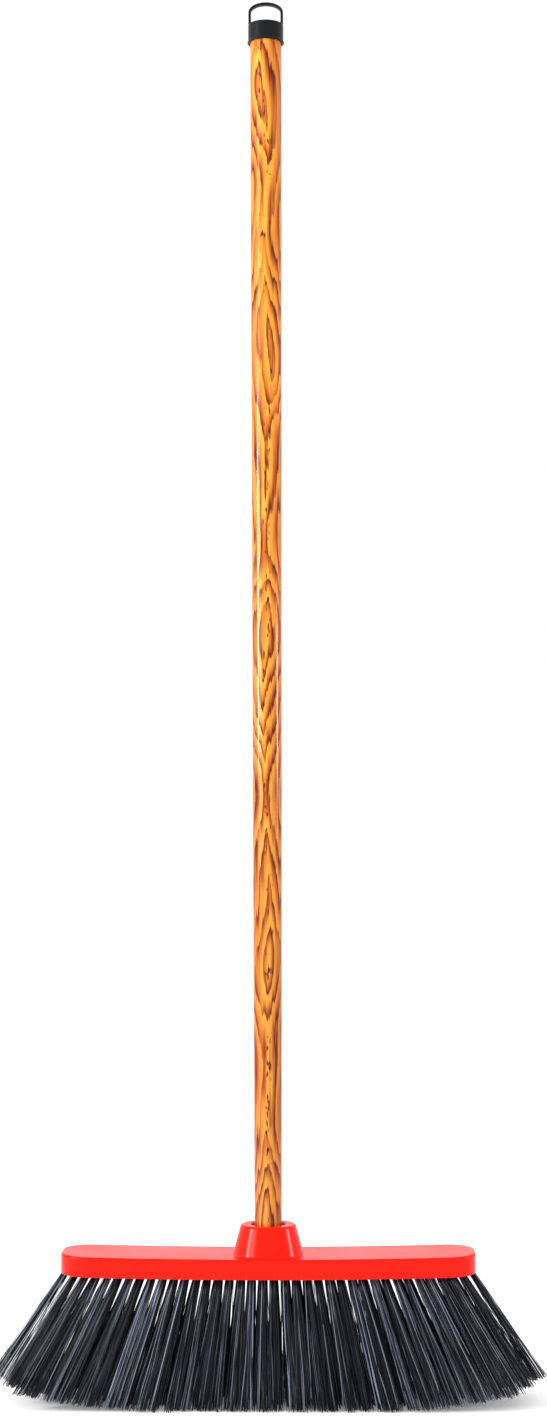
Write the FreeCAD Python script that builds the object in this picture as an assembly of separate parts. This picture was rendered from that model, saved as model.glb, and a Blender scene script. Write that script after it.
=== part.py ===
"""Push broom: a moulded block with bristle tufts, and a film-covered wooden handle that screws into it.

The frame has its origin on the floor under the handle. X runs along the block, -Y is the front, +Z is up.
All sizes are in millimetres and degrees.
"""

import FreeCAD
import Part
import math
import os

Vector = FreeCAD.Vector
UP = Vector(0, 0, 1)

# --- Block: one moulding, slightly arched, with rounded ends ---
BLOCK_LENGTH = 396.0
BLOCK_DEPTH = 75.0
BLOCK_THICKNESS = 19.0
BLOCK_CORNER_R = 28.0
BLOCK_ARCH = 3.0  # the two ends stand this much higher than the middle
BLOCK_TOP_EDGE_R = 2.0
BLOCK_BOTTOM_EDGE_R = 0.8
BRISTLE_REACH = 120.0  # floor to the underside of the block, at its middle

# --- Socket: a cone on top of the block, with a flared mouth and a coarse thread ---
SOCKET_HEIGHT = 28.0
SOCKET_SHOULDER = 3.5  # the block's long edge to the socket's foot
SOCKET_TOP_R = 26.2
SOCKET_FILLET_R = 1.9
SOCKET_RIM_R = 3.0
MOUTH_GAP = 3.1  # handle to the mouth's wall, just under the lip
MOUTH_LIP = 1.4
LEDGE_DEPTH = 8.0  # rim down to the ledge that stops the ferrule
BORE_END_GAP = 1.5

# --- Thread, right-handed; the male side is on the ferrule ---
THREAD_PITCH = 5.0
THREAD_ROOT_R = 9.0
THREAD_HEIGHT = 1.5
THREAD_BASE_WIDTH = 2.6
THREAD_CREST_WIDTH = 1.2
THREAD_CLEARANCE = 0.3
THREAD_SINK = 0.4  # the ridge starts this far inside its shank, so that the two join
THREAD_RELIEF = 4.0  # plain shank between the ridge and the flange

# --- Tufts: staggered rows of folded bundles that fan outwards ---
TUFT_ROWS = 5
TUFT_PITCH = 20.9
ROW_MARGIN = 9.5  # outer row to the block's long edge
TUFT_EDGE_MARGIN = 8.5  # hole centre to the block's edge, at least
TUFT_BORE_WALL = 2.0  # plastic left between a tuft hole and the handle's bore
TUFT_HOLE_R = 3.25
TUFT_HOLE_DEPTH = 13.0
TUFT_CLEARANCE = 0.07
TUFT_FLARE = 2.8  # half-angle of the bundle
TUFT_SIDES = 14  # a bundle is a tapered prism with this many flat sides
END_LEAN = 35.0  # lean along X of a tuft at the very end of the block
ROW_LEAN = 3.5  # lean along Y, per row away from the middle one
TRIM_FLAT = 100.0  # half the length over which the tips are level with the floor
TRIM_RADIUS = 640.0  # the tips rise along this radius past the level stretch

# --- Anchors: flat wire that pins each tuft in its hole ---
ANCHOR_BITE = 1.0
ANCHOR_THICKNESS = 0.5
ANCHOR_HEIGHT = 2.0
ANCHOR_FOLD = 3.0  # hole's end to the anchor's near edge, where the bundle folds over

# --- Handle: a wooden core in a plastic film, a little thicker at the top ---
HANDLE_R = 13.2  # at the socket
HANDLE_TOP_R = 15.5
FILM_THICKNESS = 0.4
FILM_GAP = 0.05
CORE_LENGTH = 1200.0  # with the tenon
TENON_R = 6.8

# --- Ferrule: the threaded end, nailed to the tenon ---
FERRULE_FLANGE = 3.0
FERRULE_SHANK = 28.0
FERRULE_FLOOR = 6.0  # tenon's end to the ferrule's end, with the recess for the nail's head
FERRULE_FIT = 0.05
NAIL_R = 1.5
NAIL_LENGTH = 32.0
NAIL_HEAD_R = 3.5
NAIL_HEAD_THICKNESS = 1.2
NAIL_POINT = 4.0
NAIL_FIT = 0.05
NAIL_RECESS = 1.8
NAIL_RECESS_GAP = 0.3

# --- Cap: a push-on cap with a loop to hang the broom by ---
CAP_WALL = 1.8
CAP_FIT = 0.05
CAP_SKIRT = 17.0
CAP_ROOF = 1.6
CAP_ROOF_EDGE_R = 0.7
CAP_LIP = 0.7
CAP_LIP_HEIGHT = 2.2
LOOP_LEG = 12.4
LOOP_RISE = 10.0
LOOP_BAND = 2.5
LOOP_DEPTH = 6.0
LOOP_GUSSET_R = 3.0

# --- Sizes and heights that follow from the ones above ---
SOCKET_BASE_R = BLOCK_DEPTH / 2 - SOCKET_SHOULDER
MOUTH_R = HANDLE_R + MOUTH_GAP
ROW_SPACING = (BLOCK_DEPTH - 2 * ROW_MARGIN) / (TUFT_ROWS - 1)
TENON_LENGTH = FERRULE_SHANK + FERRULE_FLANGE - FERRULE_FLOOR
RIM_Z = BRISTLE_REACH + BLOCK_THICKNESS + SOCKET_HEIGHT
LEDGE_Z = RIM_Z - LEDGE_DEPTH
SHOULDER_Z = LEDGE_Z + FERRULE_FLANGE
FERRULE_END_Z = LEDGE_Z - FERRULE_SHANK
BORE_END_Z = FERRULE_END_Z - BORE_END_GAP
CORE_TOP_Z = SHOULDER_Z - TENON_LENGTH + CORE_LENGTH
CAP_BOTTOM_Z = CORE_TOP_Z - CAP_SKIRT
CAP_ROOF_Z = CORE_TOP_Z + CAP_ROOF
THREAD_CREST_R = THREAD_ROOT_R + THREAD_HEIGHT
BORE_R = THREAD_ROOT_R + THREAD_CLEARANCE
CORE_INSET = FILM_THICKNESS + FILM_GAP
CAP_BORE_R = HANDLE_TOP_R + CAP_FIT
CAP_R = CAP_BORE_R + CAP_WALL
ARCH_R = ((BLOCK_LENGTH / 2) ** 2 + BLOCK_ARCH**2) / (2 * BLOCK_ARCH)

MIDDLE_ROW = (TUFT_ROWS - 1) / 2
BEYOND = 40.0  # how far a cutting shape runs past what it cuts
SAME = 0.01  # two heights or radii that differ by less are the same one
FOOT_BAND = 1.0  # the arch lifts or drops the socket's foot by less than this
FILLET_SHARE = 0.97  # how much of the wall beside it a fillet may take


def arched_z(z, x):
    """Height of the block's arched surface at x, where its middle is at z."""
    return z + ARCH_R - math.sqrt(ARCH_R**2 - x**2)


def prism(edges, direction):
    """The solid swept by a closed outline along a direction."""
    return Part.Face(Part.Wire(edges)).extrude(direction)


def turned(points):
    """The solid of revolution about Z of a closed outline of (radius, height) points."""
    corners = [Vector(r, 0, z) for r, z in points]
    outline = Part.makePolygon(corners + corners[:1])
    return Part.Face(outline).revolve(Vector(0, 0, 0), UP, 360)


def lines(corners):
    """Straight edges that join the corners in turn."""
    return [Part.LineSegment(a, b).toShape() for a, b in zip(corners, corners[1:])]


# ---------------------------------------------------------------- block


def rounded_rectangle(length, depth, radius, z):
    """Edges of a rectangle with round corners, centred on the origin."""
    x, y = length / 2, depth / 2
    inner_x, inner_y = x - radius, y - radius
    cut = radius * math.sqrt(0.5)
    edges = []
    for sign_x, sign_y in ((1, 1), (-1, 1), (-1, -1), (1, -1)):
        on_end = Vector(sign_x * x, sign_y * inner_y, z)
        on_side = Vector(sign_x * inner_x, sign_y * y, z)
        middle = Vector(sign_x * (inner_x + cut), sign_y * (inner_y + cut), z)
        first, last = (on_end, on_side) if sign_x == sign_y else (on_side, on_end)
        if edges:
            edges.append(Part.LineSegment(edges[-1].Vertexes[-1].Point, first).toShape())
        edges.append(Part.Arc(first, middle, last).toShape())
    edges.append(Part.LineSegment(edges[-1].Vertexes[-1].Point, edges[0].Vertexes[0].Point).toShape())
    return edges


def edge_distance(x, y):
    """How far a point on the block's underside is from the block's outline."""
    past_x = abs(x) - (BLOCK_LENGTH / 2 - BLOCK_CORNER_R)
    past_y = abs(y) - (BLOCK_DEPTH / 2 - BLOCK_CORNER_R)
    if past_x > 0 and past_y > 0:
        return BLOCK_CORNER_R - math.hypot(past_x, past_y)
    return BLOCK_CORNER_R - max(past_x, past_y)


def slab():
    """The arched slab with rounded corners, before its edges are rounded."""
    low, high = BRISTLE_REACH, BRISTLE_REACH + BLOCK_THICKNESS
    half, front = BLOCK_LENGTH / 2 + BEYOND, -BLOCK_DEPTH
    end_low, end_high = arched_z(low, half), arched_z(high, half)
    under = Part.Arc(Vector(-half, front, end_low), Vector(0, front, low), Vector(half, front, end_low))
    over = Part.Arc(Vector(half, front, end_high), Vector(0, front, high), Vector(-half, front, end_high))
    right = Part.LineSegment(Vector(half, front, end_low), Vector(half, front, end_high))
    left = Part.LineSegment(Vector(-half, front, end_high), Vector(-half, front, end_low))
    arch = prism([e.toShape() for e in (under, right, over, left)], Vector(0, 2 * BLOCK_DEPTH, 0))
    outline = rounded_rectangle(BLOCK_LENGTH, BLOCK_DEPTH, BLOCK_CORNER_R, low - BEYOND)
    return arch.common(prism(outline, Vector(0, 0, 2 * BEYOND + BLOCK_THICKNESS + BLOCK_ARCH))).Solids[0]


def rim_edges(shape, z):
    """The edges of the slab that run round its arched surface at height z."""
    found = []
    for edge in shape.Edges:
        middle = edge.valueAt((edge.FirstParameter + edge.LastParameter) / 2)
        ends = [v.Point for v in edge.Vertexes]
        if all(abs(p.z - arched_z(z, p.x)) < SAME for p in [middle] + ends):
            found.append(edge)
    return found


def rounded_slab():
    shape = slab()
    shape = shape.makeFillet(BLOCK_TOP_EDGE_R, rim_edges(shape, BRISTLE_REACH + BLOCK_THICKNESS))
    return shape.makeFillet(BLOCK_BOTTOM_EDGE_R, rim_edges(shape, BRISTLE_REACH))


def top_edges(shape, z, radius):
    """The round edges of a turned shape at height z that are at least as wide as a radius."""
    return [e for e in shape.Edges if e.BoundBox.ZMin > z - SAME and e.BoundBox.XMax > radius - SAME]


def socket_cone():
    """The socket without its cavity: a cone that runs on a little way into the slab."""
    root_depth = BLOCK_THICKNESS / 4
    root_z = BRISTLE_REACH + BLOCK_THICKNESS - root_depth
    root_r = SOCKET_BASE_R + (SOCKET_BASE_R - SOCKET_TOP_R) / SOCKET_HEIGHT * root_depth
    cone = turned([(0, root_z), (root_r, root_z), (SOCKET_TOP_R, RIM_Z), (0, RIM_Z)])
    wall = SOCKET_TOP_R - MOUTH_R - MOUTH_LIP
    return cone.makeFillet(min(SOCKET_RIM_R, FILLET_SHARE * wall), top_edges(cone, RIM_Z, SOCKET_TOP_R))


def foot_fillet_radius():
    """The inner corner's radius, or less where the block's rounded edge comes too near the socket."""
    room = SOCKET_SHOULDER - BLOCK_TOP_EDGE_R
    corner_angle = math.atan2(SOCKET_HEIGHT, SOCKET_BASE_R - SOCKET_TOP_R)
    return min(SOCKET_FILLET_R, FILLET_SHARE * room / math.tan(corner_angle / 2))


def blended(shape):
    """Rounds the inner corner where the socket rises out of the slab."""
    top = BRISTLE_REACH + BLOCK_THICKNESS
    foot = []
    for edge in shape.Edges:
        box = edge.BoundBox
        level = max(abs(box.ZMin - top), abs(box.ZMax - top))
        round_socket = max(abs(box.XMax - SOCKET_BASE_R), abs(box.YMax - SOCKET_BASE_R))
        if max(level, round_socket) < FOOT_BAND:
            foot.append(edge)
    return shape.makeFillet(foot_fillet_radius(), foot)


def thread_ridge(base_r, height, base_width, crest_width, bottom_z, length):
    """A right-handed helical ridge on a cylinder, with the same phase for any length."""
    turns_below = math.ceil(BEYOND / THREAD_PITCH) * THREAD_PITCH
    start_z = LEDGE_Z - turns_below
    helix = Part.makeHelix(THREAD_PITCH, turns_below + BEYOND, base_r)
    helix.translate(Vector(0, 0, start_z))
    inner_r, crest_r = base_r - THREAD_SINK, base_r + height
    half_crest = crest_width / 2
    half_inner = half_crest + (base_width - crest_width) / 2 * (crest_r - inner_r) / height
    corners = [
        Vector(inner_r, 0, start_z - half_inner),
        Vector(crest_r, 0, start_z - half_crest),
        Vector(crest_r, 0, start_z + half_crest),
        Vector(inner_r, 0, start_z + half_inner),
    ]
    profile = Part.makePolygon(corners + corners[:1])
    make_solid, frenet = True, True
    ridge = Part.Wire(helix).makePipeShell([profile], make_solid, frenet)
    span = Part.makeCylinder(base_r + 2 * height, length, Vector(0, 0, bottom_z))
    return ridge.common(span)


def socket_cavity():
    """What is cut out of the socket: flared mouth, ledge, bore and thread groove."""
    ledge_r = HANDLE_R + 2 * THREAD_CLEARANCE
    mouth = turned(
        [
            (0, LEDGE_Z),
            (ledge_r, LEDGE_Z),
            (MOUTH_R, RIM_Z - MOUTH_LIP),
            (MOUTH_R + MOUTH_LIP, RIM_Z),
            (MOUTH_R + MOUTH_LIP, RIM_Z + BEYOND),
            (0, RIM_Z + BEYOND),
        ]
    )
    bore = Part.makeCylinder(BORE_R, RIM_Z - BORE_END_Z, Vector(0, 0, BORE_END_Z))
    groove = thread_ridge(
        BORE_R,
        THREAD_HEIGHT,
        THREAD_BASE_WIDTH + 2 * THREAD_CLEARANCE,
        THREAD_CREST_WIDTH + 2 * THREAD_CLEARANCE,
        BORE_END_Z,
        LEDGE_Z - BORE_END_Z + THREAD_PITCH / 2,
    )
    return mouth.fuse([bore, groove])


def broom_block():
    """Slab and socket in one piece, with the thread, the tuft holes and the cuts that the anchors bite."""
    shape = blended(rounded_slab().fuse(socket_cone()).removeSplitter())
    places = [(x, row) for row in range(TUFT_ROWS) for x in tuft_places(row)]
    holes = [tuft_hole(x, row) for x, row in places]
    bites = [anchor(x, row) for x, row in places]
    return shape.cut(socket_cavity()).cut(holes).cut(bites)


# ---------------------------------------------------------------- tufts and their anchors


def row_y(row):
    return (row - MIDDLE_ROW) * ROW_SPACING


def clear_of_bore(x, y):
    """Whether a tuft hole leaves enough plastic round the handle's bore."""
    keep_off = BORE_R + THREAD_HEIGHT + TUFT_HOLE_R + TUFT_BORE_WALL
    above_bore_end = BRISTLE_REACH + TUFT_HOLE_DEPTH > BORE_END_Z
    return not above_bore_end or math.hypot(x, y) >= keep_off


def tuft_places(row):
    """The X of each tuft in a row. Every other row is shifted by half a pitch."""
    y = row_y(row)
    shift = 0.5 if (row - MIDDLE_ROW) % 2 else 0.0
    most = math.ceil(BLOCK_LENGTH / TUFT_PITCH)
    places = [(k + shift) * TUFT_PITCH for k in range(-most, most)]
    return [x for x in places if edge_distance(x, y) >= TUFT_EDGE_MARGIN and clear_of_bore(x, y)]


def tuft_root(x, row):
    """Where the axis of a tuft leaves the block's underside."""
    return Vector(x, row_y(row), arched_z(BRISTLE_REACH, x))


def tuft_direction(x, row):
    """Unit vector down along a tuft, leaning outwards in X and in Y."""
    lean_x = math.radians(END_LEAN * x / (BLOCK_LENGTH / 2))
    lean_y = math.radians(ROW_LEAN * (row - MIDDLE_ROW))
    return Vector(math.tan(lean_x), math.tan(lean_y), -1).normalize()


def tuft_hole(x, row):
    root, down = tuft_root(x, row), tuft_direction(x, row)
    past = BLOCK_THICKNESS / 2
    return Part.makeCylinder(TUFT_HOLE_R, TUFT_HOLE_DEPTH + past, root - down * TUFT_HOLE_DEPTH, down)


def trimmed_off():
    """Everything below the line that the bristles are cut to: level in the middle, rising at both ends."""
    half = BLOCK_LENGTH
    run = half - TRIM_FLAT
    centre_z = TRIM_RADIUS
    turn = math.asin(run / TRIM_RADIUS)
    end_z = centre_z - TRIM_RADIUS * math.cos(turn)
    middle_x = TRIM_FLAT + TRIM_RADIUS * math.sin(turn / 2)
    middle_z = centre_z - TRIM_RADIUS * math.cos(turn / 2)
    front, depth = -BLOCK_DEPTH - BEYOND, 2 * (BLOCK_DEPTH + BEYOND)
    flat_right, flat_left = Vector(TRIM_FLAT, front, 0), Vector(-TRIM_FLAT, front, 0)
    end_right, end_left = Vector(half, front, end_z), Vector(-half, front, end_z)
    deep_right, deep_left = Vector(half, front, -BRISTLE_REACH), Vector(-half, front, -BRISTLE_REACH)
    right = Part.Arc(flat_right, Vector(middle_x, front, middle_z), end_right).toShape()
    left = Part.Arc(end_left, Vector(-middle_x, front, middle_z), flat_left).toShape()
    below = lines([end_right, deep_right, deep_left, end_left])
    return prism([right, *below, left, *lines([flat_left, flat_right])], Vector(0, depth, 0))


def across_tuft(down):
    """Two unit vectors square to a tuft's axis: one as near to X as it can be, one as near to Y."""
    along = (Vector(1, 0, 0) - down * down.x).normalize()
    return along, down.cross(along)


def bundle_outline(centre, down, radius):
    """A many-sided outline that fits inside a circle round the tuft's axis."""
    along, beside = across_tuft(down)
    turns = [2 * math.pi * k / TUFT_SIDES for k in range(TUFT_SIDES)]
    corners = [centre + along * (radius * math.cos(t)) + beside * (radius * math.sin(t)) for t in turns]
    return Part.makePolygon(corners + corners[:1])


def tuft(x, row, trim):
    """One bundle, widening from the end of its hole to its trimmed tip, folded over its anchor."""
    root, down = tuft_root(x, row), tuft_direction(x, row)
    spread = math.tan(math.radians(TUFT_FLARE))
    mouth_r = TUFT_HOLE_R - TUFT_CLEARANCE
    inside = TUFT_HOLE_DEPTH - TUFT_CLEARANCE
    outside = root.z / -down.z + BEYOND / 2
    fold = bundle_outline(root - down * inside, down, mouth_r - spread * inside)
    end = bundle_outline(root + down * outside, down, mouth_r + spread * outside)
    return Part.makeLoft([fold, end], True, True).cut([trim, anchor(x, row)])


def tuft_row(row):
    trim = trimmed_off()
    return Part.makeCompound([tuft(x, row, trim) for x in tuft_places(row)])


def anchor(x, row):
    """Flat wire across the hole, on edge, inside the fold of its bundle."""
    root, down = tuft_root(x, row), tuft_direction(x, row)
    width = 2 * (TUFT_HOLE_R + ANCHOR_BITE)
    corner = Vector(-width / 2, -ANCHOR_THICKNESS / 2, 0)
    wire = Part.makeBox(width, ANCHOR_THICKNESS, ANCHOR_HEIGHT, corner)
    turn = FreeCAD.Rotation(across_tuft(down)[0], UP, down, "ZXY")
    wire.Placement = FreeCAD.Placement(root - down * (TUFT_HOLE_DEPTH - ANCHOR_FOLD), turn)
    return wire


def anchor_row(row):
    return Part.makeCompound([anchor(x, row) for x in tuft_places(row)])


# ---------------------------------------------------------------- handle


def tapered_stick(inset):
    """The handle's outer shape from its shoulder to its top, set in by a distance."""
    height = CORE_TOP_Z - SHOULDER_Z
    return Part.makeCone(HANDLE_R - inset, HANDLE_TOP_R - inset, height, Vector(0, 0, SHOULDER_Z))


def handle_core():
    """The wooden stick, turned down at its lower end to a tenon, with the hole that the nail makes."""
    tenon = Part.makeCylinder(TENON_R, TENON_LENGTH, Vector(0, 0, SHOULDER_Z - TENON_LENGTH))
    return tapered_stick(CORE_INSET).fuse(tenon).cut(nail_shape(NAIL_FIT))


def handle_film():
    return tapered_stick(0.0).cut(tapered_stick(FILM_THICKNESS))


def nail_shape(grow):
    """The nail, or with grow the hole round it."""
    head_z = FERRULE_END_Z + NAIL_RECESS - NAIL_HEAD_THICKNESS
    under_head = head_z + NAIL_HEAD_THICKNESS
    top = under_head + NAIL_LENGTH + grow
    shank_r = NAIL_R + grow
    return turned(
        [
            (0, head_z),
            (NAIL_HEAD_R, head_z),
            (NAIL_HEAD_R, under_head - grow),
            (shank_r, under_head - grow),
            (shank_r, top - NAIL_POINT),
            (0, top),
        ]
    )


def threaded_ferrule():
    """Flange, threaded shank with a blind hole for the tenon, and a recess for the nail's head."""
    end = Vector(0, 0, FERRULE_END_Z)
    flange = Part.makeCylinder(HANDLE_R, FERRULE_FLANGE, Vector(0, 0, LEDGE_Z))
    shank = Part.makeCylinder(THREAD_ROOT_R, FERRULE_SHANK, end)
    ridge = thread_ridge(
        THREAD_ROOT_R,
        THREAD_HEIGHT,
        THREAD_BASE_WIDTH,
        THREAD_CREST_WIDTH,
        FERRULE_END_Z,
        FERRULE_SHANK - THREAD_RELIEF,
    )
    hole_foot = Vector(0, 0, SHOULDER_Z - TENON_LENGTH)
    hole = Part.makeCylinder(TENON_R + FERRULE_FIT, TENON_LENGTH, hole_foot)
    recess = Part.makeCylinder(NAIL_HEAD_R + NAIL_RECESS_GAP, NAIL_RECESS + NAIL_FIT, end)
    nail_hole = Part.makeCylinder(NAIL_R + NAIL_FIT, FERRULE_SHANK, end)
    return flange.fuse([shank, ridge]).cut([hole, recess, nail_hole])


def ferrule_nail():
    return nail_shape(0.0)


# ---------------------------------------------------------------- cap


def cap_cup():
    """The cap's cup, with a small lip round its open end."""
    lip_r = CAP_R + CAP_LIP
    cup = turned(
        [
            (0, CORE_TOP_Z),
            (CAP_BORE_R, CORE_TOP_Z),
            (CAP_BORE_R, CAP_BOTTOM_Z),
            (lip_r, CAP_BOTTOM_Z),
            (lip_r, CAP_BOTTOM_Z + CAP_LIP_HEIGHT / 2),
            (CAP_R, CAP_BOTTOM_Z + CAP_LIP_HEIGHT),
            (CAP_R, CAP_ROOF_Z),
            (0, CAP_ROOF_Z),
        ]
    )
    return cup.makeFillet(CAP_ROOF_EDGE_R, top_edges(cup, CAP_ROOF_Z, CAP_R))


def arch_outline(half_width, leg_top, rise, foot_z, y):
    """Edges of an arch that stands on foot_z: two legs and half an ellipse."""
    centre = Vector(0, y, leg_top)
    right, left = Vector(half_width, y, leg_top), Vector(-half_width, y, leg_top)
    crown = Vector(0, y, leg_top + rise)
    if half_width > rise:
        ellipse = Part.Ellipse(right, crown, centre)
    else:
        ellipse = Part.Ellipse(crown, right, centre)
    start, end = sorted((ellipse.parameter(right), ellipse.parameter(left)))
    over = ellipse.toShape(start, end)
    if over.valueAt((start + end) / 2).z < leg_top:
        over = ellipse.toShape(end, start + 2 * math.pi)
    first, last = over.valueAt(over.FirstParameter), over.valueAt(over.LastParameter)
    feet = [Vector(last.x, y, foot_z), Vector(first.x, y, foot_z)]
    return [over, *lines([last, *feet, first])]


def hang_loop():
    """A flat band in the shape of an arch, with thick corners at its feet."""
    half_width = math.sqrt(CAP_R**2 - (LOOP_DEPTH / 2) ** 2)
    spring_z = CAP_ROOF_Z + LOOP_LEG
    foot_z = CAP_ROOF_Z - CAP_ROOF / 2
    front = -LOOP_DEPTH / 2
    along = Vector(0, LOOP_DEPTH, 0)
    outer = prism(arch_outline(half_width, spring_z, LOOP_RISE, foot_z, front), along)
    inner_width, inner_rise = half_width - LOOP_BAND, LOOP_RISE - LOOP_BAND
    inner = prism(arch_outline(inner_width, spring_z, inner_rise, CAP_ROOF_Z, front), along)
    on_roof = [e for e in inner.Edges if abs(e.BoundBox.ZMax - CAP_ROOF_Z) < SAME]
    feet = [e for e in on_roof if e.BoundBox.YLength > LOOP_DEPTH / 2]
    return outer.cut(inner.makeFillet(LOOP_GUSSET_R, feet))


def hanger_cap():
    return cap_cup().fuse(hang_loop()).removeSplitter()


# ---------------------------------------------------------------- parts


ROW_NAMES = {0: "front", MIDDLE_ROW: "middle", TUFT_ROWS - 1: "rear"}


def row_name(row):
    """A row's number and, for the outer and middle ones, its place."""
    place = ROW_NAMES.get(row)
    return f"row_{row + 1}_{place}" if place else f"row_{row + 1}"


def parts():
    made = {
        "broom_block": broom_block(),
        "handle_core": handle_core(),
        "handle_film": handle_film(),
        "threaded_ferrule": threaded_ferrule(),
        "ferrule_nail": ferrule_nail(),
        "hanger_cap": hanger_cap(),
    }
    for row in range(TUFT_ROWS):
        made["bristles_" + row_name(row)] = tuft_row(row)
        made["anchors_" + row_name(row)] = anchor_row(row)
    return made


os.makedirs("parts", exist_ok=True)
for name, shape in parts().items():
    if not shape.isValid():
        raise ValueError(name + " is not a valid shape")
    shape.exportStep("parts/" + name + ".step")
    print(name, len(shape.Solids), "solids", round(shape.Volume / 1000, 2), "cm3")
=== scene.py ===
# %% [markdown]
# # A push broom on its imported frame
# The frame is the broom as CAD packed it: every piece in metres, standing on the floor, with the handle on
# the Z axis. This file gives each piece its looks. Pieces whose CAD mesh is too coarse to shine well are
# worked out again here as smooth surfaces, from the same sizes.

import math

import bpy
import numpy as np
from mathutils import Matrix, Vector


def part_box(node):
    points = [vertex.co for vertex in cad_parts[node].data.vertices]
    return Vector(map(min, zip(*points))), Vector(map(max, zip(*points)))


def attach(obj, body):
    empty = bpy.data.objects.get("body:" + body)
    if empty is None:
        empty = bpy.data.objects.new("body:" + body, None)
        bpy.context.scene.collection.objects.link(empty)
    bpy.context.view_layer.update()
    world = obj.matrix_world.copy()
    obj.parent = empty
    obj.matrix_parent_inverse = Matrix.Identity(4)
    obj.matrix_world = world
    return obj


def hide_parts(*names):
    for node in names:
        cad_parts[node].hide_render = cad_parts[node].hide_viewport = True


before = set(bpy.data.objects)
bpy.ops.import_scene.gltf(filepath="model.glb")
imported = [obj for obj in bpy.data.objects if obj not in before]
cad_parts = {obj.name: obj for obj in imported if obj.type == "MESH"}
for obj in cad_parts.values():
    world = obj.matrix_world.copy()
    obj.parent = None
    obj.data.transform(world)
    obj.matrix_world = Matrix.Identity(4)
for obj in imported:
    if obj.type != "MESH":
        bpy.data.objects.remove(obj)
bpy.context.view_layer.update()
MM = 0.001

# %% [markdown]
# ## From rings of points to a mesh
# Most of this broom is a stack of rings: the block shrinks to a ring at its socket, the cap and the ferrule
# are turned, and a bristle is a thin three-sided stack. So one helper joins each ring to the next with
# quads. A profile that closes on itself, such as a tube's wall, joins its last ring to its first. Any other
# stack is closed with a fan of triangles at each end.


# %% Ring helpers
def ring_quads(rings, columns, looped):
    """Quads between ring i and ring i + 1, and between column j and column j + 1, both counted round."""
    i = np.arange(rings if looped else rings - 1)[:, None]
    j = np.arange(columns)[None, :]
    here, above = i * columns, (i + 1) % rings * columns
    beside = (j + 1) % columns
    corners = np.broadcast_arrays(here + j, here + beside, above + beside, above + j)
    return np.stack(corners, axis=-1).reshape(-1, 4)


def end_fans(rings, columns):
    """Triangles from the first and the last ring to two more points, which come after all the rings."""
    j = np.arange(columns)
    beside = (j + 1) % columns
    first = np.stack([beside, j, np.full(columns, rings * columns)], axis=1)
    top = (rings - 1) * columns
    last = np.stack([top + j, top + beside, np.full(columns, rings * columns + 1)], axis=1)
    return np.concatenate([first, last])


def signed_volume(points, faces):
    """A sixth of the sum of a . (b x c) over each face's triangles. Faces that point outwards make it
    positive."""
    a, b = points[faces[:, 0]], points[faces[:, 1:-1]]
    c = points[faces[:, 2:]]
    return float(np.einsum("ni,nki->", a, np.cross(b, c)) / 6)


def add_mesh(name, points, quads, triangles, sharp_degrees=40.0):
    """A mesh object at the origin. Its faces are smooth and point outwards, and it has creases where it
    bends sharply."""
    if signed_volume(points, quads) + signed_volume(points, triangles) < 0:
        quads, triangles = quads[:, ::-1], triangles[:, ::-1]
    mesh = bpy.data.meshes.new(name)
    mesh.from_pydata(points, [], quads.tolist() + triangles.tolist())
    mesh.polygons.foreach_set("use_smooth", np.ones(len(mesh.polygons), dtype=bool))
    mesh.set_sharp_from_angle(angle=math.radians(sharp_degrees))
    mesh.update()
    piece = bpy.data.objects.new(name, mesh)
    bpy.context.scene.collection.objects.link(piece)
    return piece


def ring_piece(name, rings, looped=False, sharp_degrees=40.0):
    """A closed piece from an array of rings, columns and coordinates."""
    count, columns = rings.shape[:2]
    points = rings.reshape(-1, 3)
    quads = ring_quads(count, columns, looped)
    triangles = np.zeros((0, 3), dtype=int)
    if not looped:
        points = np.concatenate([points, rings[[0, -1]].mean(axis=1)])
        triangles = end_fans(count, columns)
    piece = add_mesh(name, points, quads, triangles, sharp_degrees)
    print(name, "faces", len(quads) + len(triangles))
    return piece


def dress(piece, material, body, slot, *nodes):
    """Gives a piece its material and the body it moves with, and hides the CAD nodes it stands for. The slot
    is not used.
    """
    piece.data.materials.append(material)
    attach(piece, body)
    if nodes:
        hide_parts(*nodes)


# %% Profile helpers
def circle_rings(radii, heights, columns):
    """One level circle for each radius and height. A radius may differ from column to column."""
    turn = np.linspace(0, 2 * np.pi, columns, endpoint=False)
    radii = np.broadcast_to(np.asarray(radii, dtype=float).reshape(len(heights), -1), (len(heights), columns))
    heights = np.broadcast_to(np.asarray(heights, dtype=float)[:, None], radii.shape)
    return np.stack([radii * np.cos(turn), radii * np.sin(turn), heights], axis=-1)


def arc_profile(centre, radius, start, end, count):
    """Points (r, z) on an arc about a centre, from one angle to another in degrees."""
    angle = np.radians(np.linspace(start, end, count))
    return np.stack([centre[0] + radius * np.cos(angle), centre[1] + radius * np.sin(angle)], axis=1)


def straight_profile(start, end, count):
    """Points (r, z) evenly along a line."""
    share = np.linspace(0, 1, count)[:, None]
    return (1 - share) * np.asarray(start) + share * np.asarray(end)


# %% [markdown]
# ## Node helpers
# A material is a small graph of nodes. A helper that adds a node and fills its inputs at once keeps each
# material readable: an input gets a number, or the output that feeds it. All patterns read Object
# coordinates, in metres, so they stay on the piece whatever its mesh is like.


# %% Material helpers
def new_material(name):
    """An empty material with a Principled shader. Returns the material, its tree and the shader."""
    material = bpy.data.materials.new(name)
    material.use_nodes = True
    tree = material.node_tree
    tree.nodes.clear()
    shader = tree.nodes.new("ShaderNodeBsdfPrincipled")
    output = tree.nodes.new("ShaderNodeOutputMaterial")
    tree.links.new(shader.outputs["BSDF"], output.inputs["Surface"])
    return material, tree, shader


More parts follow.
